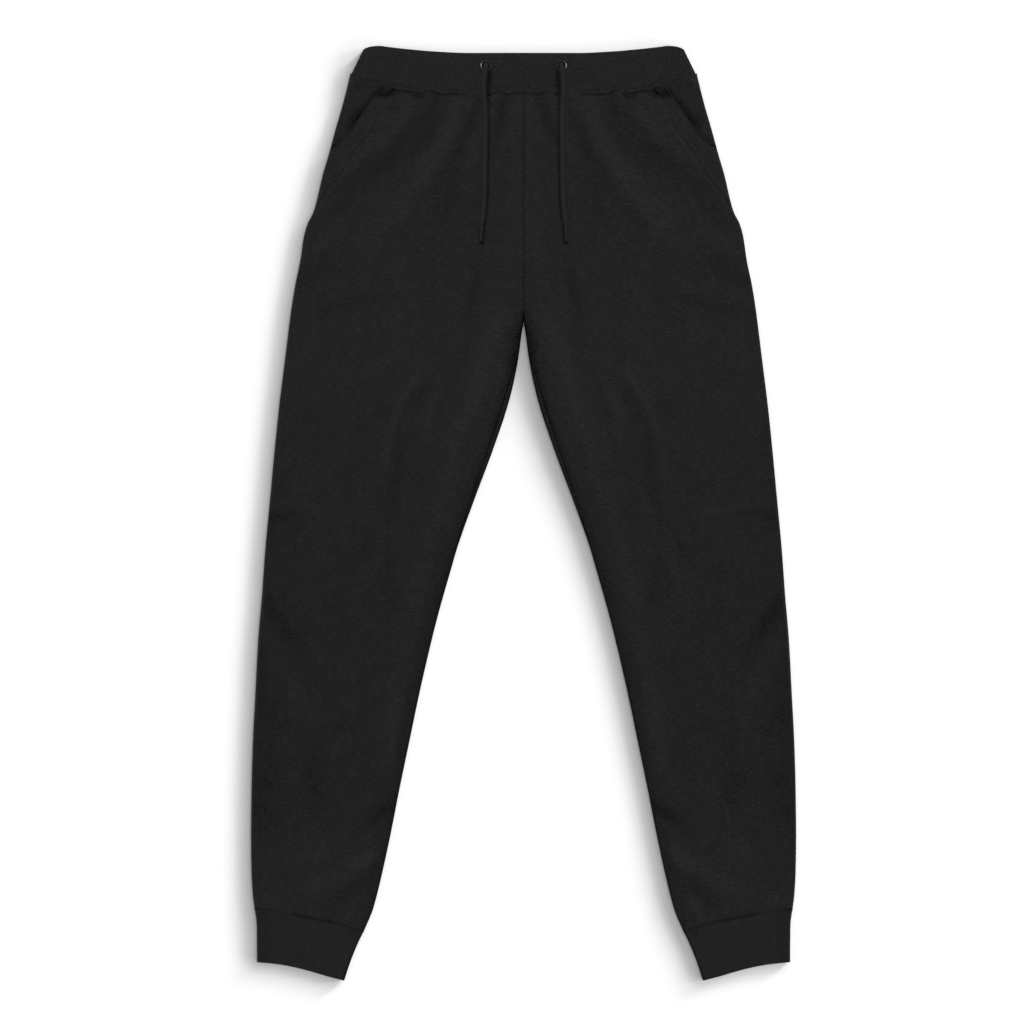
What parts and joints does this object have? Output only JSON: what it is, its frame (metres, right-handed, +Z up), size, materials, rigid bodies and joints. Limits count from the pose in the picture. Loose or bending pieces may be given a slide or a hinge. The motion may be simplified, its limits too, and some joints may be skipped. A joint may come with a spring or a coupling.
{
  "type": "jogger sweatpants",
  "caption": "Jogger sweatpants in heathered fleece, laid flat with the front up: drawcord waistband, slanted side pockets, tapered legs and ribbed ankle cuffs.",
  "frame": {"origin": "centre of the garment's box, on the surface that it lies on", "axes": "+Y towards the waistband, +X towards the wearer's left leg, +Z up from the surface, the way the garment's front faces"},
  "size_m": [0.6102, 1.0455, 0.018],
  "materials": {
    "fleece": "matte",
    "rib": "matte",
    "cord": "matte",
    "eyelet_metal": "satin",
    "cord_tip": "satin"
  },
  "bodies": {
    "root": {"waistband": "rib", "front_left": "fleece", "front_right": "fleece", "back_left": "fleece", "back_right": "fleece", "pocket_facing_left": "fleece", "pocket_facing_right": "fleece", "cuff_left": "rib", "cuff_right": "rib", "eyelet_left": "eyelet_metal", "eyelet_right": "eyelet_metal", "drawcord_left": "cord", "drawcord_right": "cord", "cord_tip_left": "cord_tip", "cord_tip_right": "cord_tip"}
  },
  "joints": []
}
